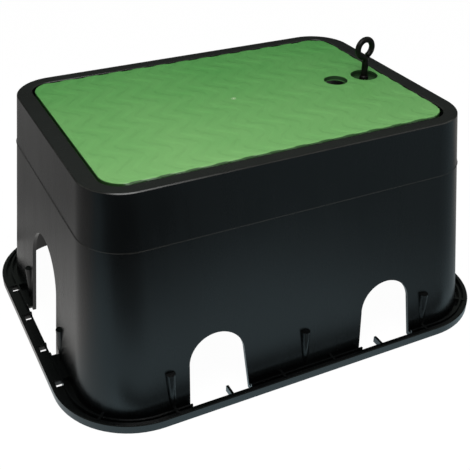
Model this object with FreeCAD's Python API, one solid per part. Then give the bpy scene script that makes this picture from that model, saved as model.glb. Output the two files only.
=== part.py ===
import FreeCAD, Part
import os
from math import atan2, cos, degrees, hypot, pi, sin, sqrt

Vector = FreeCAD.Vector

# Body: the rim is the lid's recess and a flat band, the foot is the rim and the wall's slope
box_height = 305.0
rim_band_x = 22.6
rim_band_y = 19.3
rim_radius = 57.0
slope_x = 33.35
slope_y = 43.9
foot_radius = 82.0
wall = 5.0
rim_edge_chamfer = 1.2

# Lid recess in the rim
recess_gap = 2.8
recess_radius = 29.0
recess_depth = 25.0
seat_width = 14.0
seat_thickness = 5.0
tub_wall = 4.0
rim_plate = 5.0
rim_web_pitch = 110.0
rim_web_thickness = 2.6

# Ground flange, which stands out beyond the foot
flange_reach_x = 23.85
flange_reach_y = 16.0
flange_radius = 111.0
lip_height = 12.5
lip_width = 6.0
lip_chamfer = 1.2
channel_floor = 7.5
channel_plate = 3.0
foot_rib_gap_x = 7.0
foot_rib_gap_y = 5.6
foot_rib_thickness = 2.6
foot_rib_radius = 92.8
foot_rib_height = 13.5
web_pitch = 77.0
web_thickness = 3.5
drain_length = 6.2

# Pipe arches in the long sides
side_arch_from_lug = 65.0
side_arch_top = 99.5
side_arch_radius = 38.5
side_arch_foot = 42.5

# Pipe arches in the short ends
end_arch_top = 156.5
end_arch_radius = 58.0
end_arch_foot = 60.0

# Stacking lugs, half round pegs that stand off the sloping wall
lug_radius = 6.3
lug_top = 62.5
lug_foot = 11.0
lug_proud = 0.5
side_lug_from_corner = 22.5
end_lug_from_arch = 18.5

# Lid
lid_length = 477.5
lid_width = 324.0
lid_radius = 31.0
lid_plate = 4.5
lid_skirt = 4.0
lid_edge_chamfer = 0.8
lid_rib = 3.0
lid_rib_clearance = 2.0
lid_rib_pitch_x = 95.5
lid_rib_pitch_y = 81.0

# Anti-slip waves on the lid
wave_pitch = 35.7
wave_margin = 12.55
wave_period = 68.0
wave_sway = 7.5
wave_width = 21.0
wave_height = 1.2
wave_overhang = 0.7
wave_root = 2.0
wave_clearance = 3.5

# Finger hole
finger_from_lock = 48.7
finger_diameter = 33.0
finger_collar = 4.0
finger_depth = 7.0

# Lock cup in the lid
lock_inset = 25.75
cup_diameter = 38.4
cup_depth = 9.0
cup_floor = 3.0
cup_wall = 3.5
gate_mark_x = 1.0
gate_mark_y = 2.0
gate_mark_diameter = 6.0
gate_mark_depth = 0.5

# Eye bolt
shank_diameter = 9.4
bar_diameter = 8.3
bar_sides = 8
eye_inside = 17.0
eye_centre_height = 49.8
eye_offset = 3.4
eye_turn = 6.0
eye_end_angle = 23.5
neck_bend = 7.0
collar_diameter = 13.0
collar_height = 8.6
thread_diameter = 8.0
thread_end_chamfer = 1.0
lock_lift = 10.0

# Captive washer on the bolt
retainer_diameter = 16.0
retainer_thickness = 1.6
retainer_gap = 0.5
retainer_bore_gap = 0.06

# Nut and its boss
nut_flats = 13.0
nut_height = 6.5
nut_bore_gap = 0.08
nut_side_gap = 0.15
nut_top_gap = 0.3
nut_cover = 9.0
bolt_hole_gap = 0.6
boss_height = 26.0
boss_width = 30.0
boss_nose = 15.0

# What follows from the sizes above
recess_length = lid_length + 2 * recess_gap
recess_width = lid_width + 2 * recess_gap
rim_length = recess_length + 2 * rim_band_x
rim_width = recess_width + 2 * rim_band_y
foot_length = rim_length + 2 * slope_x
foot_width = rim_width + 2 * slope_y
flange_length = foot_length + 2 * flange_reach_x
flange_width = foot_width + 2 * flange_reach_y
side_lug_place = foot_length / 2 - foot_radius - side_lug_from_corner
side_arch_place = side_lug_place - side_arch_from_lug
end_lug_place = end_arch_foot + end_lug_from_arch
wave_first = wave_margin - lid_length / 2
wave_count = int((lid_length - 2 * wave_margin) / wave_pitch) + 1
lock_place = lid_length / 2 - lock_inset
finger_place = lock_place - finger_from_lock
seat_top = box_height - recess_depth
channel_bottom = channel_floor - channel_plate
cup_floor_top = box_height - cup_depth
cup_floor_bottom = cup_floor_top - cup_floor
nut_top = seat_top - nut_cover
nut_bottom = nut_top - nut_height
bolt_end = nut_top - lock_lift
cut = 2.0


def rounded_wire(length, width, radius, z):
    """Closed outline of a rectangle with round corners, centred on the axis."""
    x = length / 2
    y = width / 2
    bow = radius * (1 - sqrt(0.5))
    edges = []
    for sx, sy in ((1, 1), (-1, 1), (-1, -1), (1, -1)):
        side = Vector(sx * x, sy * (y - radius), z)
        middle = Vector(sx * (x - bow), sy * (y - bow), z)
        end = Vector(sx * (x - radius), sy * y, z)
        points = (side, middle, end) if sx == sy else (end, middle, side)
        edges.append(points)
    wire = []
    for i, points in enumerate(edges):
        wire.append(Part.Arc(*points).toShape())
        wire.append(Part.makeLine(points[2], edges[(i + 1) % 4][0]))
    return Part.Wire(wire)


def prism(length, width, radius, bottom, top):
    """Upright block with round corners."""
    face = Part.Face(rounded_wire(length, width, radius, bottom))
    return face.extrude(Vector(0, 0, top - bottom))


def box(x0, x1, y0, y1, z0, z1):
    return Part.makeBox(x1 - x0, y1 - y0, z1 - z0, Vector(x0, y0, z0))


def rod(diameter, x, y, z0, z1):
    return Part.makeCylinder(diameter / 2, z1 - z0, Vector(x, y, z0))


def wall_size(z, offset=0.0):
    """Length, width and corner radius of the sloping wall's outside at a height."""
    share = z / box_height
    length = foot_length + (rim_length - foot_length) * share
    width = foot_width + (rim_width - foot_width) * share
    radius = foot_radius + (rim_radius - foot_radius) * share
    return length + 2 * offset, width + 2 * offset, radius + offset


def polyhedron(faces):
    return Part.makeSolid(Part.makeShell([Part.Face(Part.makePolygon(f + [f[0]])) for f in faces]))


def sloping_block(bottom, lower, top, upper):
    """Block with flat leaning sides and conical corners, between two sizes (length, width, radius)."""
    def at(z):
        share = (z - bottom) / (top - bottom)
        return [low + (high - low) * share for low, high in zip(lower, upper)]

    def ring(z):
        x, y = at(z)[0] / 2, at(z)[1] / 2
        return [Vector(-x, -y, z), Vector(x, -y, z), Vector(x, y, z), Vector(-x, y, z)]

    low, high = ring(bottom), ring(top)
    sides = [[low[i], low[(i + 1) % 4], high[(i + 1) % 4], high[i]] for i in range(4)]
    block = polyhedron([low, high] + sides)
    apex_z = bottom + lower[2] * (top - bottom) / (lower[2] - upper[2])
    apex = Vector(at(apex_z)[0] / 2, at(apex_z)[1] / 2, apex_z)
    base_z = bottom - cut
    corner = Vector(at(base_z)[0] / 2, at(base_z)[1] / 2, base_z)
    normals = [Vector(apex_z - base_z, 0, corner.x - apex.x).normalize(),
               Vector(0, apex_z - base_z, corner.y - apex.y).normalize()]
    radius = at(base_z)[2] * (normals[0].x + normals[1].y) / 2
    centre = corner - Vector(radius / normals[0].x, radius / normals[1].y, 0)
    axis = (centre - apex).normalize()
    reach = (centre - apex).Length
    touch = []
    for normal in normals:
        ray = centre + normal * (corner - centre).dot(normal) - apex
        touch.append(apex + ray * ((base_z - apex_z) / ray.z))
    longer = reach + radius
    cone = Part.makeCone(0, longer * radius / sqrt(reach ** 2 - radius ** 2), longer, apex, axis)
    waste = polyhedron([[touch[0], corner, touch[1]], [apex, touch[0], corner], [apex, corner, touch[1]],
                        [apex, touch[1], touch[0]]]).cut(cone)
    for mirrors in ([], [Vector(1, 0, 0)], [Vector(0, 1, 0)], [Vector(1, 0, 0), Vector(0, 1, 0)]):
        piece = waste
        for normal in mirrors:
            piece = piece.mirror(Vector(0, 0, 0), normal)
        block = block.cut(piece)
    return block


def wall_block(bottom, top, offset=0.0):
    """Block between two heights that follows the sloping wall."""
    return sloping_block(bottom, wall_size(bottom, offset), top, wall_size(top, offset))


def spread(pitch, reach):
    """Places at half pitches either side of the middle, out to a reach."""
    places = []
    place = pitch / 2
    while place <= reach:
        places += [-place, place]
        place += pitch
    return places


def arch_face(half_foot, half_spring, top, foot_z):
    """Arch outline in the XZ plane: sides that lean in, and a round head."""
    spring = top - half_spring
    points = [Vector(-half_spring, 0, spring), Vector(0, 0, top), Vector(half_spring, 0, spring)]
    lean = (half_foot - half_spring) / spring
    foot = half_foot - lean * foot_z
    left = Vector(-foot, 0, foot_z)
    right = Vector(foot, 0, foot_z)
    edges = [
        Part.Arc(*points).toShape(),
        Part.makeLine(points[2], right),
        Part.makeLine(right, left),
        Part.makeLine(left, points[0]),
    ]
    return Part.Face(Part.Wire(edges))


def arch_cutter(half_foot, half_spring, top, wall_top, sill):
    """Cuts the wall to the ground inside the sill line, and the foot rib down to the channel outside it."""
    inner = wall_top - wall - cut
    full = arch_face(half_foot, half_spring, top, -cut)
    full = full.extrude(Vector(0, sill - inner, 0)).translate(Vector(0, inner, 0))
    above = arch_face(half_foot, half_spring, top, channel_floor)
    above = above.extrude(Vector(0, foot_rib_thickness + cut, 0)).translate(Vector(0, sill, 0))
    return full.fuse(above)


def stacking_lug(place, wall_half_at):
    """Upright half round peg along Y, its face flush with the wall at its own foot."""
    front = wall_half_at(lug_foot) + lug_proud
    peg = rod(2 * lug_radius, place, front - lug_radius, lug_foot, lug_top)
    keep = box(place - 2 * lug_radius, place + 2 * lug_radius, wall_half_at(lug_top) - wall / 2,
               front + cut, 0, box_height)
    return peg.common(keep)


def side_half(z):
    return wall_size(z)[1] / 2


def end_half(z):
    return wall_size(z)[0] / 2


def turned(shape, angle):
    """Copy of a shape turned about the box's middle line."""
    copy = shape.copy()
    copy.rotate(Vector(0, 0, 0), Vector(0, 0, 1), angle)
    return copy


def wall_hollow():
    return wall_block(-cut, box_height - rim_plate, -wall)


def body_shell():
    """Drafted wall, hollow from below, and the flat rim on top."""
    solid = wall_block(0, box_height)
    edges = [e for e in solid.Edges if e.BoundBox.ZMin > box_height - 0.01]
    solid = solid.makeChamfer(rim_edge_chamfer, edges)
    return solid.cut(wall_hollow())


def lid_seat():
    """Tub below the rim that holds the lid: its wall, the seat and webs to the body wall."""
    bottom = seat_top - seat_thickness
    tub_length = recess_length + 2 * tub_wall
    tub_width = recess_width + 2 * tub_wall
    seat = prism(tub_length, tub_width, recess_radius + tub_wall, bottom, box_height - rim_plate / 2)
    webs = []
    for x in spread(rim_web_pitch, tub_length / 2 - recess_radius):
        webs.append(box(x - rim_web_thickness / 2, x + rim_web_thickness / 2,
                        -rim_width, rim_width, bottom, box_height - rim_plate / 2))
    for y in spread(rim_web_pitch, tub_width / 2 - recess_radius):
        webs.append(box(-rim_length, rim_length, y - rim_web_thickness / 2,
                        y + rim_web_thickness / 2, bottom, box_height - rim_plate / 2))
    inside = wall_block(bottom - cut, box_height - rim_plate / 2, -wall / 2)
    webs = webs[0].multiFuse(webs[1:]).common(inside)
    return seat.fuse(webs)


def seat_cutters():
    """Room for the lid above the seat, and the way down inside it."""
    recess = prism(recess_length, recess_width, recess_radius, seat_top, box_height + cut)
    way = prism(recess_length - 2 * seat_width, recess_width - 2 * seat_width,
                recess_radius - seat_width, seat_top - seat_thickness - cut, seat_top + cut)
    return recess.fuse(way)


def lock_boss():
    """Boss under the seat at the lock end, with the bolt hole and a slot for the nut."""
    back = (recess_length + tub_wall) / 2
    nose = lock_place - boss_nose
    block = box(lock_place, back, -boss_width / 2, boss_width / 2, seat_top - boss_height, seat_top)
    tip = rod(boss_width, nose + boss_width / 2, 0, seat_top - boss_height, seat_top)
    boss = block.fuse(tip)
    hole = rod(thread_diameter + 2 * bolt_hole_gap, lock_place, 0, seat_top - boss_height - cut,
               seat_top + cut)
    slot_half = nut_flats / 2 + nut_side_gap
    slot_back = lock_place + nut_flats / sqrt(3) + nut_side_gap
    slot = box(nose - cut, slot_back, -slot_half, slot_half, nut_bottom, nut_top + nut_top_gap)
    return boss.cut(hole).cut(slot)


def ground_flange():
    """Channel plate round the foot with its upturned lip."""
    lip = prism(flange_length, flange_width, flange_radius, 0, lip_height)
    edges = [e for e in lip.Edges if e.BoundBox.ZMin > lip_height - 0.01]
    lip = lip.makeChamfer(lip_chamfer, edges)
    inner = (flange_length - 2 * lip_width, flange_width - 2 * lip_width, flange_radius - lip_width)
    lip = lip.cut(prism(*inner, channel_floor, lip_height + cut))
    lip = lip.cut(prism(*inner, -cut, channel_bottom))
    inside = prism(*wall_size(channel_floor, -wall / 2), -cut, lip_height + cut)
    return lip.cut(inside)


def foot_rib():
    """Low rib that runs round the foot, with a gully between it and the wall."""
    length = 2 * (end_half(channel_floor) + foot_rib_gap_x)
    width = 2 * (side_half(channel_floor) + foot_rib_gap_y)
    radius = foot_rib_radius - foot_rib_thickness
    rib = prism(length + 2 * foot_rib_thickness, width + 2 * foot_rib_thickness, foot_rib_radius,
                channel_bottom, foot_rib_height)
    return rib.cut(prism(length, width, radius, 0, box_height))


def web_places():
    """Centre, direction and reach of each flange web, and whether it has a drain slot."""
    places = []
    lip_x = (flange_length - lip_width) / 2
    lip_y = (flange_width - lip_width) / 2
    for x in spread(web_pitch, flange_length / 2 - flange_radius):
        for side in (-1, 1):
            places.append((x, side * lip_y, side * 90.0, lip_y - side_half(channel_floor) + wall, False))
    for y in spread(web_pitch, flange_width / 2 - flange_radius):
        inner = end_half(channel_floor) - wall
        if abs(y) < end_arch_foot:
            inner = end_half(channel_floor) + foot_rib_gap_x
        places.append((lip_x, y, 0.0, lip_x - inner, True))
        places.append((-lip_x, y, 180.0, lip_x - inner, True))
    middle = flange_radius - lip_width / 2
    length, width, radius = wall_size(channel_floor)
    for sx, sy in ((1, 1), (-1, 1), (-1, -1), (1, -1)):
        x = sx * (flange_length / 2 - flange_radius + middle * sqrt(0.5))
        y = sy * (flange_width / 2 - flange_radius + middle * sqrt(0.5))
        foot_x = sx * (length / 2 - radius * (1 - sqrt(0.5)))
        foot_y = sy * (width / 2 - radius * (1 - sqrt(0.5)))
        reach = hypot(x - foot_x, y - foot_y) + wall / 2
        places.append((x, y, degrees(atan2(sy, sx)), reach, False))
    return places


def flange_webs():
    """Webs across the channel, and the drain slots beside those on the ends."""
    webs = []
    drains = []
    half = web_thickness / 2
    for x, y, angle, reach, drained in web_places():
        web = box(-reach, 0, -half, half, channel_bottom, foot_rib_height)
        webs.append(turned(web, angle).translate(Vector(x, y, 0)))
        if drained:
            rib = end_half(channel_floor) + foot_rib_gap_x + foot_rib_thickness
            drain = box(rib - abs(x), -lip_width / 2, half, half + drain_length, 0, lip_height)
            drains.append(turned(drain, angle).translate(Vector(x, y, 0)))
    return webs, drains


def valve_box():
    """The whole one-piece body moulding."""
    body = body_shell().fuse(lid_seat())
    body = body.cut(seat_cutters()).fuse(lock_boss())
    body = body.multiFuse([ground_flange(), foot_rib()])
    sill = side_half(channel_floor) + foot_rib_gap_y
    side = arch_cutter(side_arch_foot, side_arch_radius, side_arch_top, side_half(side_arch_top), sill)
    for x in (-side_arch_place, side_arch_place):
        for turn in (0, 180):
            body = body.cut(turned(side.copy().translate(Vector(x, 0, 0)), turn))
    sill = end_half(channel_floor) + foot_rib_gap_x
    end = arch_cutter(end_arch_foot, end_arch_radius, end_arch_top, end_half(end_arch_top), sill)
    for turn in (90, -90):
        body = body.cut(turned(end, turn))
    webs, drains = flange_webs()
    lugs = []
    for x in (-side_lug_place, 0, side_lug_place):
        for turn in (0, 180):
            lugs.append(turned(stacking_lug(x, side_half), turn))
    for y in (-end_lug_place, end_lug_place):
        for turn in (90, -90):
            lugs.append(turned(stacking_lug(y, end_half), turn))
    lugs = lugs[0].multiFuse(lugs[1:]).cut(wall_hollow())
    body = body.multiFuse(webs + [lugs])
    for drain in drains:
        body = body.cut(drain)
    return body.removeSplitter()


def wave_ridge(x0):
    """One sinuous ridge: a band that runs straight and slants in turn, across the lid."""
    step = wave_period / 4
    steps = int(lid_width / 2 / step) + 2
    left = []
    right = []
    for i in range(-steps, steps + 1):
        side = 1 if (i + 1) // 2 % 2 else -1
        lean = wave_sway / step * (side if i % 2 else -side)
        centre = Vector(x0 + side * wave_sway, step * (i + 0.5), box_height - wave_root)
        across = Vector(1, -lean, 0).normalize() * (wave_width / 2)
        left.append(centre - across)
        right.append(centre + across)
    outline = left + right[::-1]
    band = Part.Face(Part.makePolygon(outline + outline[:1]))
    return band.extrude(Vector(0, 0, wave_root + wave_height))


def lid_waves():
    """All the ridges, trimmed just outside the lid's edge and round the two holes."""
    ridges = [wave_ridge(wave_first + wave_pitch * i) for i in range(wave_count)]
    trim = prism(lid_length, lid_width + 2 * wave_overhang, lid_radius + wave_overhang,
                 box_height - 2 * wave_root, box_height + 2 * wave_height)
    for place, diameter in ((finger_place, finger_diameter), (lock_place, cup_diameter)):
        trim = trim.cut(rod(diameter + 2 * wave_clearance, place, 0, 0, 2 * box_height))
    return [ridge.common(trim) for ridge in ridges]


def lid_ribs():
    """Grid of ribs under the plate, clear of the seat below."""
    bottom = seat_top + lid_rib_clearance
    top = box_height - lid_plate / 2
    half = lid_rib / 2
    ribs = []
    for x in spread(lid_rib_pitch_x, lid_length / 2 - lid_skirt):
        ribs.append(box(x - half, x + half, -lid_width / 2 + lid_skirt / 2, lid_width / 2 - lid_skirt / 2,
                        bottom, top))
    for i in (-1, 1):
        y = i * lid_rib_pitch_y
        ribs.append(box(-lid_length / 2 + lid_skirt / 2, lid_length / 2 - lid_skirt / 2, y - half, y + half,
                        bottom, top))
    ribs.append(box(-lid_length / 2 + lid_skirt / 2, finger_place - finger_diameter / 2, -half, half,
                    bottom, top))
    inside = prism(lid_length - lid_skirt, lid_width - lid_skirt, lid_radius - lid_skirt / 2, bottom, top)
    return ribs[0].multiFuse(ribs[1:]).common(inside)


def lid():
    """Lid moulding: plate, skirt, ribs, waves, finger hole and lock cup."""
    plate = prism(lid_length, lid_width, lid_radius, seat_top, box_height)
    edges = [e for e in plate.Edges if e.BoundBox.ZMin > box_height - 0.01]
    plate = plate.makeChamfer(lid_edge_chamfer, edges)
    hollow = prism(lid_length - 2 * lid_skirt, lid_width - 2 * lid_skirt, lid_radius - lid_skirt,
                   seat_top - cut, box_height - lid_plate)
    shape = plate.cut(hollow)
    collar = rod(finger_diameter + 2 * finger_collar, finger_place, 0, box_height - finger_depth,
                 box_height - lid_plate / 2)
    cup = rod(cup_diameter + 2 * cup_wall, lock_place, 0, cup_floor_bottom, box_height - lid_plate / 2)
    shape = shape.multiFuse([lid_ribs(), collar, cup] + lid_waves())
    shape = shape.cut(rod(finger_diameter, finger_place, 0, 0, 2 * box_height))
    shape = shape.cut(rod(cup_diameter, lock_place, 0, cup_floor_top, 2 * box_height))
    shape = shape.cut(rod(thread_diameter + 2 * bolt_hole_gap, lock_place, 0, 0, 2 * box_height))
    shape = shape.cut(rod(gate_mark_diameter, gate_mark_x, gate_mark_y, box_height - gate_mark_depth,
                          2 * box_height))
    return shape.removeSplitter()


def bar_section(z):
    """Cross-section of the bar, with enough flats to read as round."""
    corner = bar_diameter / 2 / cos(pi / bar_sides)
    points = []
    for i in range(bar_sides + 1):
        angle = pi * (2 * i + 1) / bar_sides
        points.append(Vector(corner * cos(angle), corner * sin(angle), z))
    return Part.Face(Part.makePolygon(points))


def bent_bar():
    """Bar that bends to the left at the neck and goes once round to the neck again."""
    ring = (eye_inside + bar_diameter) / 2
    centre = Vector(-eye_offset, 0, cup_floor_top + eye_centre_height)
    drop = sqrt((neck_bend + ring) ** 2 - (neck_bend - eye_offset) ** 2)
    bend_centre = Vector(-neck_bend, 0, centre.z - drop)
    away = centre - bend_centre
    bend_angle = degrees(atan2(away.z, away.x))
    ring_angle = 270 + bend_angle - eye_end_angle
    start = bar_section(bend_centre.z)
    bend = start.revolve(bend_centre, Vector(0, -1, 0), bend_angle)
    start.rotate(bend_centre, Vector(0, -1, 0), bend_angle)
    eye = start.revolve(centre, Vector(0, 1, 0), ring_angle)
    shank = rod(shank_diameter, 0, 0, cup_floor_top, bend_centre.z + shank_diameter / 4)
    return shank.multiFuse([bend, eye])


def eye_bolt():
    """Bar bent into an eye, the collar that presses on the lid, and the threaded end."""
    collar = rod(collar_diameter, 0, 0, cup_floor_top, cup_floor_top + collar_height)
    thread = rod(thread_diameter, 0, 0, bolt_end, cup_floor_top)
    tip = [e for e in thread.Edges if e.BoundBox.ZMax < bolt_end + thread_end_chamfer]
    thread = thread.makeChamfer(thread_end_chamfer, tip)
    bolt = bent_bar().multiFuse([collar, thread]).removeSplitter()
    return turned(bolt, eye_turn).translate(Vector(lock_place, 0, 0))


def bolt_retainer():
    """Captive washer gripped on the thread under the lid."""
    bottom = seat_top + retainer_gap
    disc = rod(retainer_diameter, lock_place, 0, bottom, bottom + retainer_thickness)
    return disc.cut(rod(thread_diameter + 2 * retainer_bore_gap, lock_place, 0, 0, box_height))


def lock_nut():
    """Hexagon nut in the slot of the boss."""
    corner = nut_flats / sqrt(3)
    points = []
    for i in range(7):
        angle = pi / 3 * i
        points.append(Vector(lock_place + corner * cos(angle), corner * sin(angle), nut_bottom))
    hexagon = Part.Face(Part.makePolygon(points)).extrude(Vector(0, 0, nut_height))
    return hexagon.cut(rod(thread_diameter + 2 * nut_bore_gap, lock_place, 0, 0, box_height))


def main():
    os.makedirs("parts", exist_ok=True)
    nodes = {
        "valve_box": valve_box(),
        "lid": lid(),
        "eye_bolt": eye_bolt(),
        "bolt_retainer": bolt_retainer(),
        "lock_nut": lock_nut(),
    }
    for name, shape in nodes.items():
        shape.exportStep("parts/%s.step" % name)
        bounds = shape.BoundBox
        print(name, "solids", len(shape.Solids), "valid", shape.isValid(), "faces", len(shape.Faces),
              "litres %.4f" % (shape.Volume / 1e6),
              "box %.1f..%.1f %.1f..%.1f %.1f..%.1f" % (bounds.XMin, bounds.XMax, bounds.YMin,
                                                        bounds.YMax, bounds.ZMin, bounds.ZMax))


main()
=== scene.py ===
# Irrigation valve box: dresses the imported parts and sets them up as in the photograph
import math
import bmesh
import bpy
from mathutils import Matrix, Vector


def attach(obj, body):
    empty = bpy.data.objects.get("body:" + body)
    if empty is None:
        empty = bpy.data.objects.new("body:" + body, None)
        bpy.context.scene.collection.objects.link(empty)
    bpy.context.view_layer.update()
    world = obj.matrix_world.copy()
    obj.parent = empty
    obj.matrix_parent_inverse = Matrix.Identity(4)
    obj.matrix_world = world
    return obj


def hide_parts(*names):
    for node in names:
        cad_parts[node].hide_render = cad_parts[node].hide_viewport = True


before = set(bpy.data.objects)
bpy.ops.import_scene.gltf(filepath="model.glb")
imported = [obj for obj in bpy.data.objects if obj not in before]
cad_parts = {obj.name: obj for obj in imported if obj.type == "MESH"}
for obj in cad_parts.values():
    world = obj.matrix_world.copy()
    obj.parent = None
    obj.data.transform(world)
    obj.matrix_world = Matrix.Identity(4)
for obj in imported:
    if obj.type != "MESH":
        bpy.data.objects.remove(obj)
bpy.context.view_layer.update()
print("frame loaded")


# camera, from the perspective of the lid, rim and flange in the photograph
photo = {
    "size": 470,
    "focalPixels": 823.5,
    "centre": (226.4, 234.9),
    "place": (-0.4733, -0.9332, 0.7531),
    "azimuth": -26.47,
    "elevation": 32.54,
    "roll": 0.65,
}


def addCamera():
    azimuth, elevation, roll = (math.radians(photo[k]) for k in ("azimuth", "elevation", "roll"))
    back = Vector((math.sin(azimuth) * math.cos(elevation), -math.cos(azimuth) * math.cos(elevation),
                   math.sin(elevation)))
    level = (-back).cross(Vector((0, 0, 1))).normalized()
    upright = level.cross(-back)
    right = level * math.cos(roll) + upright * math.sin(roll)
    up = upright * math.cos(roll) - level * math.sin(roll)
    data = bpy.data.cameras.new("photoCamera")
    data.sensor_width = 36
    data.lens = photo["focalPixels"] / photo["size"] * data.sensor_width
    data.shift_x = 0.5 - photo["centre"][0] / photo["size"]
    data.shift_y = photo["centre"][1] / photo["size"] - 0.5
    data.clip_end = 50
    camera = bpy.data.objects.new("photoCamera", data)
    turn = Matrix((right, up, back)).transposed().to_4x4()
    camera.matrix_world = Matrix.Translation(photo["place"]) @ turn
    bpy.context.scene.collection.objects.link(camera)
    bpy.context.scene.camera = camera


# shader maths: wraps a socket so that expressions on it add Math nodes
class Wire:
    def __init__(self, tree, socket):
        self.tree = tree
        self.socket = socket

    def math(self, operation, *others, flip=False):
        node = self.tree.nodes.new("ShaderNodeMath")
        node.operation = operation
        values = [self, *others]
        if flip:
            values.reverse()
        for slot, value in zip(node.inputs, values):
            if isinstance(value, Wire):
                self.tree.links.new(value.socket, slot)
            else:
                slot.default_value = value
        return Wire(self.tree, node.outputs[0])

    def __add__(self, other):
        return self.math("ADD", other)

    def __sub__(self, other):
        return self.math("SUBTRACT", other)

    def __rsub__(self, other):
        return self.math("SUBTRACT", other, flip=True)

    def __mul__(self, other):
        return self.math("MULTIPLY", other)

    def __truediv__(self, other):
        return self.math("DIVIDE", other)

    __radd__ = __add__
    __rmul__ = __mul__

    def clamped(self):
        return self.math("MINIMUM", 1.0).math("MAXIMUM", 0.0)

    def above(self, start, reach):
        # 0 up to the start, rising to 1 over the reach
        return ((self - start) / reach).clamped()

    def below(self, end, reach):
        # 0 past the end, rising to 1 over the reach before it
        return ((end - self) / reach).clamped()

    def near(self, value, reach):
        # 1 at the value, falling to 0 at the reach on either side
        return (1.0 - (self - value).math("ABSOLUTE") / reach).clamped()


class Finish:
    # one material, or the world, and the nodes in it
    def __init__(self, name, tree=None):
        self.material = None if tree else bpy.data.materials.new(name)
        if self.material:
            self.material.use_nodes = True
        self.tree = tree or self.material.node_tree
        self.tree.nodes.clear()

    def node(self, kind, settings=None, inputs=None, output=0):
        made = self.tree.nodes.new("ShaderNode" + kind)
        for name, value in (settings or {}).items():
            if name == "stops":
                ramp = made.color_ramp.elements
                while len(ramp) < len(value):
                    ramp.new(0.5)
                for element, (place, colour) in zip(ramp, value):
                    element.position = place
                    element.color = colour
            else:
                setattr(made, name, value)
        for name, value in (inputs or {}).items():
            if isinstance(value, Wire):
                self.tree.links.new(value.socket, made.inputs[name])
            else:
                made.inputs[name].default_value = value
        return Wire(self.tree, made.outputs[output] if len(made.outputs) else None)

    def place(self):
        return self.node("TexCoord", output="Object")

    def along(self, axis):
        return self.node("SeparateXYZ", {}, {"Vector": self.place()}, axis)

    def noise(self, scale, detail=3.0, roughness=0.5, stretch=None):
        spot = self.place()
        if stretch:
            spot = self.node("Mapping", {}, {"Vector": spot, "Scale": stretch})
        return self.node("TexNoise", {}, {"Vector": spot, "Scale": scale, "Detail": detail,
                                          "Roughness": roughness}, "Fac")

    def distance(self, point, stretch=(1, 1, 1)):
        spot = self.node("VectorMath", {"operation": "MULTIPLY"}, {0: self.place(), 1: stretch})
        return self.node("VectorMath", {"operation": "DISTANCE"}, {0: spot, 1: point}, "Value")

    def rays(self, *kinds):
        # for each kind, 1 where a ray of that kind arrives and 0 for any other
        return [self.node("LightPath", output="Is %s Ray" % kind) for kind in kinds]

    def ramp(self, value, stops):
        return self.node("ValToRGB", {"stops": stops}, {"Fac": value}, "Color")

    def blend(self, factor, first, second, mode="MIX"):
        return self.node("Mix", {"data_type": "RGBA", "blend_type": mode},
                         {0: factor, 6: first, 7: second}, 2)

    def bump(self, height):
        return self.node("Bump", {}, {"Strength": 1.0, "Distance": 1.0, "Height": height}, "Normal")

    def finish(self, shader):
        self.node("OutputMaterial", {}, {"Surface": shader})
        return self.material


# black polyethylene of the body: satin, with flow marks, a mould seam and dust under the finger hole; the
# seam and the rim's outer edge carry a painted highlight
bodyLook = {
    "deep": (0.0012, 0.0016, 0.0017, 1),
    "wornAndLitSeam": (0.0045, 0.0052, 0.0055, 1),
    # the lighter colour below is a painted highlight on the seam and the rim's outer edge
    "rubbedAndHighlight": (0.050, 0.050, 0.045, 1),
    "cloud": 9.0,
    "streak": 42.0,
    "streakStretch": (1.0, 1.0, 0.10),
    "grain": 1400.0,
    "grainDepth": 0.00001,
    "sink": 8.0,
    "sinkStretch": (1.0, 1.0, 0.30),
    "sinkDepth": 0.0007,
    "roughness": 0.15,
    "seamHeight": 0.233,
    "seamWidth": 0.0009,
    "seamHighlight": 0.9,
    "rimEdge": 0.3044,
    "rimEdgeWidth": 0.0007,
    "dustCentre": (0.165, 0.0, 0.24),
    "dustReach": 0.055,
    "dustFade": 0.01,
    "dustRoughness": 0.6,
}


def makeBodyPlastic():
    f = Finish("blackPolyethylene")
    cloud = f.noise(bodyLook["cloud"], 4.0)
    streak = f.noise(bodyLook["streak"], 3.0, 0.55, bodyLook["streakStretch"])
    grain = f.noise(bodyLook["grain"], 2.0)
    sink = f.noise(bodyLook["sink"], 1.0, 0.4, bodyLook["sinkStretch"])
    seam = f.along("Z").near(bodyLook["seamHeight"], bodyLook["seamWidth"])
    edge = f.along("Z").near(bodyLook["rimEdge"], bodyLook["rimEdgeWidth"])
    dusty = f.distance(bodyLook["dustCentre"]).below(bodyLook["dustReach"], bodyLook["dustFade"])
    # painted highlight: the raised seam and a line along the rim's outer edge are made lighter, in place of
    # the light they catch
    wornAndLitSeam = (cloud * 0.9 + streak * 0.6 - 0.55 + seam * 0.5).clamped()
    rubbedAndHighlight = (edge * (streak * 0.8 + 0.25) + seam * bodyLook["seamHighlight"]).clamped()
    colour = f.blend(wornAndLitSeam, bodyLook["deep"], bodyLook["wornAndLitSeam"])
    colour = f.blend(rubbedAndHighlight, colour, bodyLook["rubbedAndHighlight"])
    rough = cloud * 0.12 + streak * 0.08 + grain * 0.04 + dusty * bodyLook["dustRoughness"]
    rough = (rough + bodyLook["roughness"]).clamped()
    height = sink * bodyLook["sinkDepth"] + grain * bodyLook["grainDepth"]
    return f.finish(f.node("BsdfPrincipled", {}, {"Base Color": colour, "Roughness": rough,
                                                  "Normal": f.bump(height)}))
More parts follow.
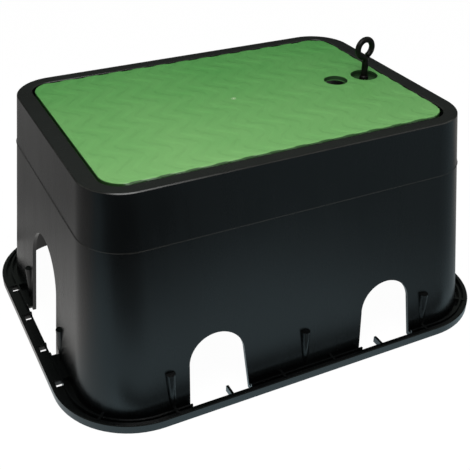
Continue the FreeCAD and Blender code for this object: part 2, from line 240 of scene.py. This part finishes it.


# green polyethylene of the lid: satin, cloudy, with painted light that makes it paler towards the near side,
# painted shade in the holes and along the gap, with a pale ring where the gate was cut off
lidLook = {
    "deep": (0.080, 0.355, 0.074, 1),
    "pale": (0.228, 0.505, 0.168, 1),
    # painted shade: this deep green darkens the holes and the lid's side wall in the gap
    "paintedShade": (0.004, 0.028, 0.004, 1),
    "cloud": 6.0,
    "fleck": 60.0,
    "fleckDepth": 0.00006,
    "grain": 1100.0,
    "grainDepth": 0.000015,
    "roughness": 0.30,
    # painted light: the two values below make the lid paler towards the near left and darker towards the far
    # right
    "paintedLightShare": (-0.16, -0.66),
    "paintedLightReach": (0.24, 0.16),
    "gapHeight": 0.3022,
    "gapReach": 0.00266,
    "gapShadeShare": 0.85,
    "cupCentre": (0.213, 0.0, 0.296),
    "cupReach": 0.0205,
    "fingerCentre": (0.1643, 0.0, 0.300),
    "fingerReach": 0.0178,
    "paintedShadeTop": 0.3048,
    "paintedShadeFade": 1 / 900,
    "holeShadeShare": 0.88,
    "holeRoughness": 0.55,
    "gate": (0.001, 0.002, 0.3052),
    "gatePale": (0.62, 0.80, 0.50, 1),
    "gateRadius": 0.0031,
    "gateWidth": 0.0007,
    "gateDepth": 0.0003,
    "stubRadius": 0.0018,
    "crisp": 0.0005,
}


def makeLidPlastic():
    f = Finish("greenPolyethylene")
    cloud = f.noise(lidLook["cloud"], 4.0)
    fleck = f.noise(lidLook["fleck"], 3.0, 0.6)
    grain = f.noise(lidLook["grain"], 2.0)
    # painted light: paler towards the near left, where the lamp falls nearer, darker towards the far right
    slopeX, slopeY = (share / reach for share, reach in zip(lidLook["paintedLightShare"], lidLook["paintedLightReach"]))
    paintedLight = f.along("X") * slopeX + f.along("Y") * slopeY
    pale = (paintedLight * 0.5 + cloud * 0.5 + fleck * 0.2 + 0.12).clamped()
    colour = f.blend(pale, lidLook["deep"], lidLook["pale"])
    gate = f.distance(lidLook["gate"]).near(lidLook["gateRadius"], lidLook["gateWidth"])
    stub = f.distance(lidLook["gate"]).below(lidLook["stubRadius"], lidLook["crisp"])
    colour = f.blend((gate * 0.75 + stub).clamped(), colour, lidLook["gatePale"])
    # painted shade: the lock cup and the finger hole below the plate, and the lid's side wall down in the
    # gap, are darkened to a deep green where shade falls; the holes are also made rougher
    inCup = f.distance(lidLook["cupCentre"]).below(lidLook["cupReach"], lidLook["crisp"])
    inHole = f.distance(lidLook["fingerCentre"]).below(lidLook["fingerReach"], lidLook["crisp"])
    low = f.along("Z").below(lidLook["paintedShadeTop"], lidLook["paintedShadeFade"])
    holeShadeMask = (inCup + inHole * 0.5).clamped() * low
    inGap = f.along("Z").math("COMPARE", lidLook["gapHeight"], lidLook["gapReach"])
    colour = f.blend(inGap * lidLook["gapShadeShare"], colour, lidLook["paintedShade"])
    colour = f.blend(holeShadeMask * lidLook["holeShadeShare"], colour, lidLook["paintedShade"])
    rough = cloud * 0.10 + fleck * 0.06 + grain * 0.05 + holeShadeMask * lidLook["holeRoughness"]
    rough = rough + lidLook["roughness"]
    height = grain * lidLook["grainDepth"] + fleck * lidLook["fleckDepth"] + gate * lidLook["gateDepth"]
    return f.finish(f.node("BsdfPrincipled", {}, {"Base Color": colour, "Roughness": rough,
                                                  "Normal": f.bump(height)}))


# black oxide on the eye bolt, rubbed where a hook has worn it
boltLook = {
    "oxide": (0.0012, 0.0012, 0.0010, 1),
    "rubbedAndHighlight": (0.026, 0.023, 0.020, 1),
    "patch": 160.0,
    "streak": 900.0,
    "streakStretch": (1.0, 1.0, 0.12),
    "streakDepth": 0.00004,
    "roughness": 0.35,
    "specular": 0.22,
}


def makeBlackOxide():
    f = Finish("blackOxide")
    patch = f.noise(boltLook["patch"], 4.0, 0.6)
    streak = f.noise(boltLook["streak"], 3.0, 0.6, boltLook["streakStretch"])
    rub = (patch * 1.5 + streak * 0.5 - 0.85).clamped()
    colour = f.blend(rub, boltLook["oxide"], boltLook["rubbedAndHighlight"])
    return f.finish(f.node("BsdfPrincipled", {}, {"Base Color": colour, "Metallic": rub * 0.6,
                                                  "Specular IOR Level": boltLook["specular"],
                                                  "Roughness": patch * 0.15 + boltLook["roughness"],
                                                  "Normal": f.bump(streak * boltLook["streakDepth"])}))


# bright zinc on the washer and the nut
zincLook = {"dull": (0.42, 0.42, 0.40, 1), "bright": (0.62, 0.62, 0.59, 1), "spangle": 350.0,
            "roughness": 0.28}


def makeZinc():
    f = Finish("zincPlate")
    spangle = f.noise(zincLook["spangle"])
    colour = f.ramp(spangle, ((0.3, zincLook["dull"]), (0.7, zincLook["bright"])))
    return f.finish(f.node("BsdfPrincipled", {}, {"Base Color": colour, "Metallic": 1.0,
                                                  "Roughness": spangle * 0.2 + zincLook["roughness"]}))


bodyPlastic = makeBodyPlastic()
lidPlastic = makeLidPlastic()
blackOxide = makeBlackOxide()
zincPlate = makeZinc()
print("finishes made")


def addPiece(name, bm, material, body=None, node=None, smoothAngle=None, weighted=False):
    mesh = bpy.data.meshes.new(name)
    bm.to_mesh(mesh)
    bm.free()
    mesh.materials.append(material)
    if smoothAngle:
        mesh.shade_smooth()
        mesh.set_sharp_from_angle(angle=math.radians(smoothAngle))
    piece = bpy.data.objects.new(name, mesh)
    bpy.context.scene.collection.objects.link(piece)
    if weighted:
        modifier = piece.modifiers.new("evenNormals", "WEIGHTED_NORMAL")
        modifier.keep_sharp = True
    if body:
        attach(piece, body)
    if node:
        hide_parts(node)
    return piece


def extrudeLoop(bm, edges, move):
    # a new ring of faces from an open loop, its far side moved by the given rule
    made = bmesh.ops.extrude_edge_only(bm, edges=edges)["geom"]
    fresh = {v for v in made if isinstance(v, bmesh.types.BMVert)}
    for v in fresh:
        v.co = move(v.co)
    return [e for e in made if isinstance(e, bmesh.types.BMEdge) and all(v in fresh for v in e.verts)]


def turned(bm, centre, segments, steps):
    # rings about an upright line, each (radius, height); either may be a rule of the angle
    ring = bmesh.ops.create_circle(bm, segments=segments, radius=0.01, matrix=Matrix.Translation(centre))
    edges = list({e for v in ring["verts"] for e in v.link_edges})

    def toStep(step):
        def move(co):
            angle = math.atan2(co.y - centre[1], co.x - centre[0])
            radius, height = (value(angle) if callable(value) else value for value in step)
            return Vector((centre[0] + radius * math.cos(angle), centre[1] + radius * math.sin(angle),
                           height))
        return move

    for v in ring["verts"]:
        v.co = toStep(steps[0])(v.co)
    for step in steps[1:]:
        edges = extrudeLoop(bm, edges, toStep(step))
    return edges


def easeEdges(bm, edges, width, segments):
    bmesh.ops.bevel(bm, geom=edges, offset=width, offset_type="OFFSET", affect="EDGES", segments=segments,
                    profile=0.5, material=-1, clamp_overlap=True)


# the body moulding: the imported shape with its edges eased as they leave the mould, and its raised seam
bodyShape = {
    "rimAbove": 0.3049,
    "flatAngle": 0.4,
    "recess": (0.243, 0.166),
    "recessEase": 0.0016,
    "recessSegments": 3,
    "ease": 0.00045,
    "easeSegments": 2,
    "easeAbove": 28.0,
    "seamHalf": 0.0007,
    "seamRise": 0.0009,
    "smoothAngle": 38.0,
    "same": 0.00001,
}


def makeBody():
    bm = bmesh.new()
    bm.from_mesh(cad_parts["valve_box"].data)
    bmesh.ops.remove_doubles(bm, verts=bm.verts, dist=bodyShape["same"])
    bmesh.ops.dissolve_limit(bm, verts=bm.verts, edges=bm.edges,
                             angle_limit=math.radians(bodyShape["flatAngle"]))
    reachX, reachY = bodyShape["recess"]
    lip = [e for e in bm.edges if all(v.co.z > bodyShape["rimAbove"] and abs(v.co.x) < reachX
                                      and abs(v.co.y) < reachY for v in e.verts)]
    easeEdges(bm, lip, bodyShape["recessEase"], bodyShape["recessSegments"])
    sharp = [e for e in bm.edges if len(e.link_faces) == 2
             and e.calc_face_angle(0) > math.radians(bodyShape["easeAbove"])]
    easeEdges(bm, sharp, bodyShape["ease"], bodyShape["easeSegments"])
    raiseSeam(bm)
    bmesh.ops.triangulate(bm, faces=[f for f in bm.faces if len(f.verts) > 4])
    bmesh.ops.recalc_face_normals(bm, faces=bm.faces)
    addPiece("bodyMoulding", bm, bodyPlastic, "box", "valve_box", bodyShape["smoothAngle"],
             True)


def raiseSeam(bm):
    # three level cuts, of which the middle one is drawn outwards on the outside of the walls
    seam = bodyLook["seamHeight"]
    for height in (-bodyShape["seamHalf"], 0.0, bodyShape["seamHalf"]):
        bmesh.ops.bisect_plane(bm, geom=list(bm.verts) + list(bm.edges) + list(bm.faces), dist=0.000001,
                               plane_co=(0, 0, seam + height), plane_no=(0, 0, 1))
    for v in bm.verts:
        out = Vector((v.normal.x, v.normal.y, 0))
        if abs(v.co.z - seam) < bodyShape["same"] and out.dot(Vector((v.co.x, v.co.y, 0))) > 0:
            v.co += out.normalized() * bodyShape["seamRise"]


makeBody()
print("body made")


# the lid moulding: a plate with soft waves across it, a skirt, ribs, the finger hole and the lock cup
lidShape = {
    "length": 0.4775,
    "width": 0.324,
    "radius": 0.031,
    "top": 0.305,
    "under": 0.3005,
    "wallTop": 0.3015,
    "foot": 0.280,
    "skirt": 0.004,
    "edge": 0.0008,
    "edgeMiddle": 0.3,
    "easeAcross": 0.003,
    "easeDown": 0.0022,
    "longSides": 0.1605,
    "columns": 300,
    "rows": 150,
    "rowSpread": 0.25,
    "ribWidth": 0.003,
    "ribFoot": 0.282,
    "ribSunk": 0.001,
    "ribsReach": (0.2355, 0.1585),
    "ribsAcross": (-0.14325, -0.04775, 0.04775, 0.14325),
    "ribsAlong": ((-0.081, 0.2355), (0.0, 0.1478), (0.081, 0.2355)),
    "smoothAngle": 40.0,
}
waves = {
    "first": -0.2272,
    "pitch": 0.0357,
    "count": 14,
    "period": 0.068,
    "sway": 0.0125,
    "half": 0.0092,
    "shoulder": 0.0062,
    "height": 0.0008,
    "overhang": 0.0009,
    "clear": 0.0035,
}
finger = {"centre": (0.1643, 0.0), "radius": 0.0165, "foot": 0.298, "wall": 0.004}
cup = {"centre": (0.213, 0.0), "radius": 0.0192, "floor": 0.296, "foot": 0.293, "wall": 0.002,
       "bore": 0.0046, "boreEase": 0.0004}


def halfLength(y, inset):
    # how far the rounded outline, drawn in by the inset, reaches along x at a place across the lid
    radius = lidShape["radius"] - inset
    past = abs(y) - (lidShape["width"] / 2 - lidShape["radius"])
    straight = lidShape["length"] / 2 - lidShape["radius"]
    return straight + (radius if past <= 0 else math.sqrt(max(radius ** 2 - past ** 2, 0.0)))


def fromCore(co):
    # the step along x and y to a point from the rectangle between the centres of the lid's corners
    coreX = lidShape["length"] / 2 - lidShape["radius"]
    coreY = lidShape["width"] / 2 - lidShape["radius"]
    return co.x - max(-coreX, min(coreX, co.x)), co.y - max(-coreY, min(coreY, co.y))


def outward(co):
    # level direction straight out of the lid's outline
    return Vector((*fromCore(co), 0)).normalized()


def easeStep(turn):
    # moves a point on the rounded edge one step further round, 30 degrees up to the given turn
    before = turn - math.pi / 6
    share = (math.sin(turn) - math.sin(before)) / (1 - math.sin(before))
    drop = lidShape["easeDown"] * (math.cos(before) - math.cos(turn))

    def move(co):
        left = lidShape["radius"] - math.hypot(*fromCore(co))
        return co + outward(co) * left * share - Vector((0, 0, drop))
    return move


def toHeight(height):
    return lambda co: Vector((co.x, co.y, height))


def eased(value):
    # 0 to 1 with a soft start and end
    value = max(0.0, min(1.0, value))
    return value * value * (3 - 2 * value)


def waveHeight(x, y):
    # 0 in the valleys, 1 on a ridge, fading out round the two holes
    line = waves["first"] - waves["sway"] * math.cos(2 * math.pi * y / waves["period"])
    number = max(0, min(waves["count"] - 1, round((x - line) / waves["pitch"])))
    away = abs(x - line - number * waves["pitch"])
    rise = eased((waves["half"] + waves["shoulder"] / 2 - away) / waves["shoulder"])
    for hole in (finger, cup):
        gap = math.hypot(x - hole["centre"][0], y - hole["centre"][1]) - hole["radius"]
        rise *= eased((gap - waves["clear"]) / waves["shoulder"])
    return rise


def boundaryLoops(bm):
    # the open loops of edges in a mesh, each as its own list
    loose = {e for e in bm.edges if len(e.link_faces) == 1}
    loops = []
    while loose:
        start = loose.pop()
        loop, front = [start], list(start.verts)
        while front:
            for edge in front.pop().link_edges:
                if edge in loose:
                    loose.remove(edge)
                    loop.append(edge)
                    front += edge.verts
        loops.append(loop)
    return loops


def loopCentre(loop):
    points = [v.co for e in loop for v in e.verts]
    return sum(points, Vector()) / len(points)


def makeLid():
    bm = bmesh.new()
    spread, halfWidth = lidShape["rowSpread"], lidShape["width"] / 2
    bmesh.ops.create_grid(bm, x_segments=lidShape["columns"], y_segments=lidShape["rows"], size=1)
    for v in bm.verts:
        row = v.co.y * spread + math.sin(v.co.y * math.pi / 2) * (1 - spread)
        y = row * (halfWidth - lidShape["easeAcross"])
        v.co = Vector((v.co.x * halfLength(y, lidShape["edge"]), y, lidShape["top"]))
    for hole in (finger, cup):
        reach = hole["radius"] + waves["clear"]
        inside = [f for f in bm.faces
                  if any((v.co.xy - Vector(hole["centre"])).length < reach for v in f.verts)]
        bmesh.ops.delete(bm, geom=inside, context="FACES")
    loops = sorted(boundaryLoops(bm), key=len)
    outline = loops.pop()
    for v in bm.verts:
        v.co.z += waveHeight(v.co.x, v.co.y) * waves["height"]
    rims = [shapeHole(bm, loop) for loop in loops]
    for angle in (30, 60, 90):
        outline = extrudeLoop(bm, outline, easeStep(math.radians(angle)))
    for v in {v for e in outline for v in e.verts if abs(v.co.y) > lidShape["longSides"]}:
        v.co.y += math.copysign(waves["overhang"], v.co.y) * waveHeight(v.co.x, v.co.y)
    outline = extrudeLoop(bm, outline, lambda co: Vector((co.x, max(-halfWidth, min(halfWidth, co.y)),
                                                          lidShape["wallTop"])))
    outline = extrudeLoop(bm, outline, toHeight(lidShape["foot"]))
    outline = extrudeLoop(bm, outline, lambda co: co - outward(co) * lidShape["skirt"])
    outline = extrudeLoop(bm, outline, toHeight(lidShape["under"]))
    bmesh.ops.triangle_fill(bm, use_beauty=True, use_dissolve=False, edges=outline + rims[0] + rims[1],
                            normal=(0, 0, -1))
    addRibs(bm)
    bmesh.ops.recalc_face_normals(bm, faces=bm.faces)
    addPiece("lidMoulding", bm, lidPlastic, "lid", "lid", lidShape["smoothAngle"], True)


def shapeHole(bm, loop):
    # from the ragged opening in the plate to a round hole with an eased lip, its wall and its underside
    hole = min((finger, cup), key=lambda h: (loopCentre(loop).xy - Vector(h["centre"])).length)
    centre, radius, wall = Vector((*hole["centre"], 0)), hole["radius"], hole["radius"] + hole["wall"]
    top, edge, part = lidShape["top"], lidShape["edge"], lidShape["edge"] * lidShape["edgeMiddle"]

    def ringAt(reach, height):
        def move(co):
            out = Vector((co.x - centre.x, co.y - centre.y, 0)).normalized()
            return Vector((centre.x + out.x * reach, centre.y + out.y * reach, height))
        return move

    steps = [(radius + waves["clear"], top), (radius + edge, top), (radius + part, top - part),
             (radius, top - edge)]
    if hole is cup:
        floor, bore, ease = cup["floor"], cup["bore"], cup["boreEase"]
        steps += [(radius, floor + edge), (radius - edge, floor), (bore + ease, floor), (bore, floor - ease),
                  (bore, cup["foot"])]
    else:
        steps.append((radius, finger["foot"]))
    steps += [(wall, hole["foot"]), (wall, lidShape["under"])]
    for reach, height in steps:
        loop = extrudeLoop(bm, loop, ringAt(reach, height))
    return loop


def addBlock(bm, low, high):
    size = [b - a for a, b in zip(low, high)]
    middle = [(a + b) / 2 for a, b in zip(low, high)]
    bmesh.ops.create_cube(bm, size=1, matrix=Matrix.Translation(middle) @ Matrix.Diagonal((*size, 1)))


def addRibs(bm):
    half, foot, top = lidShape["ribWidth"] / 2, lidShape["ribFoot"], lidShape["under"] + lidShape["ribSunk"]
    reachX, reachY = lidShape["ribsReach"]
    for x in lidShape["ribsAcross"]:
        addBlock(bm, (x - half, -reachY, foot), (x + half, reachY, top))
    for y, end in lidShape["ribsAlong"]:
        addBlock(bm, (-reachX, y - half, foot), (end, y + half, top))


makeLid()
print("lid made")


# the eye bolt: collar, shank, a bar bent once round, and a running thread
bolt = {
    "centre": (0.213, 0.0),
    "segments": 28,
    "tip": 0.261,
    "tipHole": 0.0008,
    "chamfer": 0.0007,
    "core": 0.0034,
    "thread": 0.004,
    "pitch": 0.00125,
    "threadTop": 0.2795,
    "threadHalf": 0.48,
    "threadStart": 0.0009,
    "threadSunk": 0.0002,
    "threadSteps": 20,
    "runout": 0.0006,
    "floor": 0.296,
    "collar": 0.0065,
    "collarTop": 0.3046,
    "collarEase": 0.0008,
    "shank": 0.0047,
    "bar": 0.00425,
    "neckBlend": 0.004,
    "neckBend": 0.007,
    "neckSteps": 10,
    "eyeInside": 0.017,
    "eyeBar": 0.00415,
    "eyeHeight": 0.3458,
    "eyeOffset": 0.0034,
    "eyeSteps": 64,
    "endAngle": 23.5,
    "endShare": 0.86,
    "turn": 6.0,
    "smoothAngle": 40.0,
}


def makeEyeBolt():
    bm = bmesh.new()
    ring = bolt["eyeInside"] / 2 + bolt["eyeBar"]
    drop = math.sqrt((bolt["neckBend"] + ring) ** 2 - (bolt["neckBend"] - bolt["eyeOffset"]) ** 2)
    eye = Vector((-bolt["eyeOffset"], 0, bolt["eyeHeight"]))
    bend = Vector((-bolt["neckBend"], 0, eye.z - drop))
    bendAngle = math.atan2(eye.z - bend.z, eye.x - bend.x)
    tip, core, thread, chamfer, runout = (bolt[k] for k in ("tip", "core", "thread", "chamfer", "runout"))
    collar, top, ease, shank = (bolt[k] for k in ("collar", "collarTop", "collarEase", "shank"))
    neck = turned(bm, (0, 0, 0), bolt["segments"], [
        (bolt["tipHole"], tip), (core - chamfer, tip), (core, tip + chamfer), (core, bolt["threadTop"]),
        (thread, bolt["threadTop"] + runout), (thread, bolt["floor"]), (collar, bolt["floor"]),
        (collar, top - ease), (collar - chamfer, top), (shank + runout, top), (shank, top + ease),
        (shank, bend.z - bolt["neckBlend"]), (bolt["bar"], bend.z)])
    tipRing = [e for e in bm.edges if len(e.link_faces) == 1 and e not in neck]
    bmesh.ops.contextual_create(bm, geom=tipRing)
    made = bmesh.ops.spin(bm, geom=neck + list({v for e in neck for v in e.verts}), cent=bend,
                          axis=(0, -1, 0), angle=bendAngle, steps=bolt["neckSteps"])["geom_last"]
    eyeAngle = math.radians(270 - bolt["endAngle"]) + bendAngle
    made = bmesh.ops.spin(bm, geom=made, cent=eye, axis=(0, 1, 0), angle=eyeAngle,
                          steps=bolt["eyeSteps"])["geom_last"]
    rim = [e for e in made if isinstance(e, bmesh.types.BMEdge)]
    middle = loopCentre(rim)
    rim = extrudeLoop(bm, rim, lambda co: middle + (co - middle) * bolt["endShare"])
    bmesh.ops.contextual_create(bm, geom=rim)
    addThread(bm)
    bmesh.ops.recalc_face_normals(bm, faces=bm.faces)
    turn = Matrix.Translation((*bolt["centre"], 0)) @ Matrix.Rotation(math.radians(bolt["turn"]), 4, "Z")
    bmesh.ops.transform(bm, matrix=turn, verts=bm.verts)
    addPiece("eyeBolt", bm, blackOxide, "bolt", "eye_bolt", bolt["smoothAngle"], True)


def addThread(bm):
    # one thread ridge wound up the core, nearly as wide as the pitch
    pitch, around = bolt["pitch"], bolt["threadSteps"]
    start, root = bolt["tip"] + bolt["threadStart"], bolt["core"] - bolt["threadSunk"]
    half = pitch * bolt["threadHalf"]
    outline = ((root, 0, start), (bolt["thread"], 0, start + half), (root, 0, start + 2 * half))
    points = [bm.verts.new(co) for co in outline]
    edges = [bm.edges.new((points[a], points[b])) for a, b in ((0, 1), (1, 2), (2, 0))]
    turns = int((bolt["threadTop"] - start - pitch) / pitch)
    bmesh.ops.spin(bm, geom=points + edges, cent=(0, 0, 0), axis=(0, 0, 1), angle=2 * math.pi * turns,
                   dvec=(0, 0, pitch / around), steps=around * turns)
    ends = [e for e in bm.edges if len(e.link_faces) == 1]
    bmesh.ops.contextual_create(bm, geom=[e for e in ends if loopCentre([e]).z < start + pitch])
    bmesh.ops.contextual_create(bm, geom=[e for e in ends if loopCentre([e]).z > start + pitch])


def closeTurned(bm, segments, steps):
    # a ring-shaped piece on the bolt's line, whose last step is the first one again
    turned(bm, (*bolt["centre"], 0), segments, steps)
    bmesh.ops.remove_doubles(bm, verts=bm.verts, dist=0.000001)
    bmesh.ops.recalc_face_normals(bm, faces=bm.faces)


# the captive washer under the lid
washer = {"outer": 0.008, "bore": 0.00406, "low": 0.2805, "high": 0.2821, "edge": 0.0003, "segments": 40,
          "smoothAngle": 50.0}


def makeWasher():
    bm = bmesh.new()
    outer, bore, low, high, edge = (washer[k] for k in ("outer", "bore", "low", "high", "edge"))
    closeTurned(bm, washer["segments"], [
        (bore, low), (outer - edge, low), (outer, low + edge), (outer, high - edge), (outer - edge, high),
        (bore, high), (bore, low)])
    addPiece("captiveWasher", bm, zincPlate, "retainer", "bolt_retainer",
             washer["smoothAngle"], True)


# the nut held in the boss, with its corners chamfered
nut = {"flats": 0.013, "bore": 0.00408, "low": 0.2645, "high": 0.271, "face": 0.0062, "edge": 0.0004,
       "segments": 48, "smoothAngle": 20.0}


def makeNut():
    bm = bmesh.new()
    bore, low, high, face, edge = (nut[k] for k in ("bore", "low", "high", "face", "edge"))

    def hexReach(angle):
        return nut["flats"] / 2 / math.cos(angle % (math.pi / 3) - math.pi / 6)

    def corner(angle):
        return (hexReach(angle) - face) * math.tan(math.pi / 6)

    closeTurned(bm, nut["segments"], [
        (bore, low + edge), (bore + edge, low), (face, low), (hexReach, lambda a: low + corner(a)),
        (hexReach, lambda a: high - corner(a)), (face, high), (bore + edge, high), (bore, high - edge),
        (bore, low + edge)])
    addPiece("hexNut", bm, zincPlate, "box", "lock_nut", nut["smoothAngle"])


makeEyeBolt()
makeWasher()
makeNut()
print("bolt, washer and nut made")


# plain white studio; the black plastic mirrors a floor that is brightest before and left of the box,
# and a world that is dark at its horizon and overhead
studio = {
    "floorSize": 6.0,
    "floorGrey": 0.9,
    "whiteShare": 0.94,
    "seenWhite": 1.04,
    "bright": (-0.25, -0.36, 0.0),
    "brightReach": 1.6,
    "brightStops": ((0.0, 0.75), (0.25, 0.64), (0.375, 0.34), (0.5, 0.21), (0.75, 0.23), (1.0, 0.30)),
    "shade": (-0.70, -1.62, 0.0),
    "shadeStretch": (1, 1.3, 1),
    "shadeReach": 1.2,
    "shadeStops": ((0.45, 0.0), (0.75, 0.08), (0.95, 1.0)),
    "besideScale": 2.0,
    "besideStops": ((0.524, 1.35), (0.536, 0.0), (0.572, 0.0), (0.65, 1.0)),
    "beyond": (0.30, 0.05),
    "rear": (0.55, 0.55, 0.0),
    "rearReach": 0.8,
    "rearGlow": 0.75,
    "rearGrey": 0.8,
    "cool": (-0.05, 0.2),
    "warmTint": (1.0, 0.99, 0.97, 1),
    "coolTint": (0.70, 0.96, 1.06, 1),
    "worldFill": 0.24,
    "worldMirror": 0.27,
    "worldTint": (0.90, 1.02, 0.92, 1),
    "horizon": (0.365, 0.10),
    "horizonShare": 0.08,
    "overhead": (0.52, 0.08),
    "overheadDark": 0.85,
    "lampAim": (0, 0, 0.2),
    "lampGloss": 0.5,
}
lamps = {"keyLamp": {"place": (-0.22, -0.45, 1.35), "size": 0.9, "power": 10.2},
         "fillLamp": {"place": (1.6, -0.6, 1.5), "size": 1.4, "power": 2.0}}


def grey(value):
    return (value, value, value, 1)


def greyStops(name):
    return [(place, grey(value)) for place, value in studio[name]]


def mirroredFloor(f):
    # what the plastic sees in the floor: a bright pool, shade far in front and contact shade by the walls
    spread = f.distance(studio["bright"]) / studio["brightReach"]
    far = f.distance(studio["shade"], studio["shadeStretch"]) / studio["shadeReach"]
    beside = f.ramp(f.along("Y").math("ABSOLUTE") * studio["besideScale"], greyStops("besideStops"))
    beyond = f.along("X").math("ABSOLUTE").above(*studio["beyond"])
    rear = f.distance(studio["rear"]).below(studio["rearReach"], studio["rearReach"]) * studio["rearGlow"]
    tint = f.blend(f.along("Y").below(*studio["cool"]), studio["warmTint"], studio["coolTint"])
    glow = f.blend(rear, f.ramp(spread, greyStops("brightStops")), grey(studio["rearGrey"]))
    for layer in (f.ramp(far, greyStops("shadeStops")), f.blend(beyond, beside, grey(1.0)), tint):
        glow = f.blend(1.0, glow, layer, "MULTIPLY")
    return glow


def addFloor():
    f = Finish("whiteFloor")
    lens, mirror, through = f.rays("Camera", "Glossy", "Transmission")
    glow = f.blend(mirror, grey(studio["seenWhite"]), mirroredFloor(f))
    lit = f.node("BsdfDiffuse", {}, {"Color": grey(studio["floorGrey"])})
    white = f.node("Emission", {}, {"Color": glow, "Strength": 1.0})
    seen = (lens + mirror + through).clamped()
    floorFinish = f.finish(f.node("MixShader", {}, {0: seen * studio["whiteShare"], 1: lit, 2: white}))
    bm = bmesh.new()
    bmesh.ops.create_grid(bm, x_segments=2, y_segments=2, size=studio["floorSize"])
    addPiece("studioFloor", bm, floorFinish)


def addWorld():
    world = bpy.data.worlds.new("studio")
    world.use_nodes = True
    bpy.context.scene.world = world
    w = Finish("studio", world.node_tree)
    lens, mirror, through = w.rays("Camera", "Glossy", "Transmission")
    fill, least = studio["worldFill"], studio["horizonShare"]
    unshaded = 1.0 - w.along("Z").above(*studio["overhead"]) * studio["overheadDark"]
    high = w.along("Z").above(*studio["horizon"]) * unshaded * (1 - least) + least
    strength = (1.0 - mirror) * fill + (lens + through).clamped() * (1 - fill)
    strength = strength + mirror * high * studio["worldMirror"]
    tint = w.blend(mirror, grey(1.0), studio["worldTint"])
    sky = w.node("Background", {}, {"Color": tint, "Strength": strength})
    w.node("OutputWorld", {}, {"Surface": sky})


def addLamps():
    for name, lamp in lamps.items():
        data = bpy.data.lights.new(name, "AREA")
        data.shape = "DISK"
        data.size = lamp["size"]
        data.energy = lamp["power"]
        data.specular_factor = studio["lampGloss"]
        made = bpy.data.objects.new(name, data)
        aim = (Vector(studio["lampAim"]) - Vector(lamp["place"])).to_track_quat("-Z", "Y")
        made.matrix_world = Matrix.Translation(lamp["place"]) @ aim.to_matrix().to_4x4()
        bpy.context.scene.collection.objects.link(made)


addCamera()
addFloor()
addWorld()
addLamps()
bpy.context.scene.view_settings.view_transform = "Standard"
print("studio set")
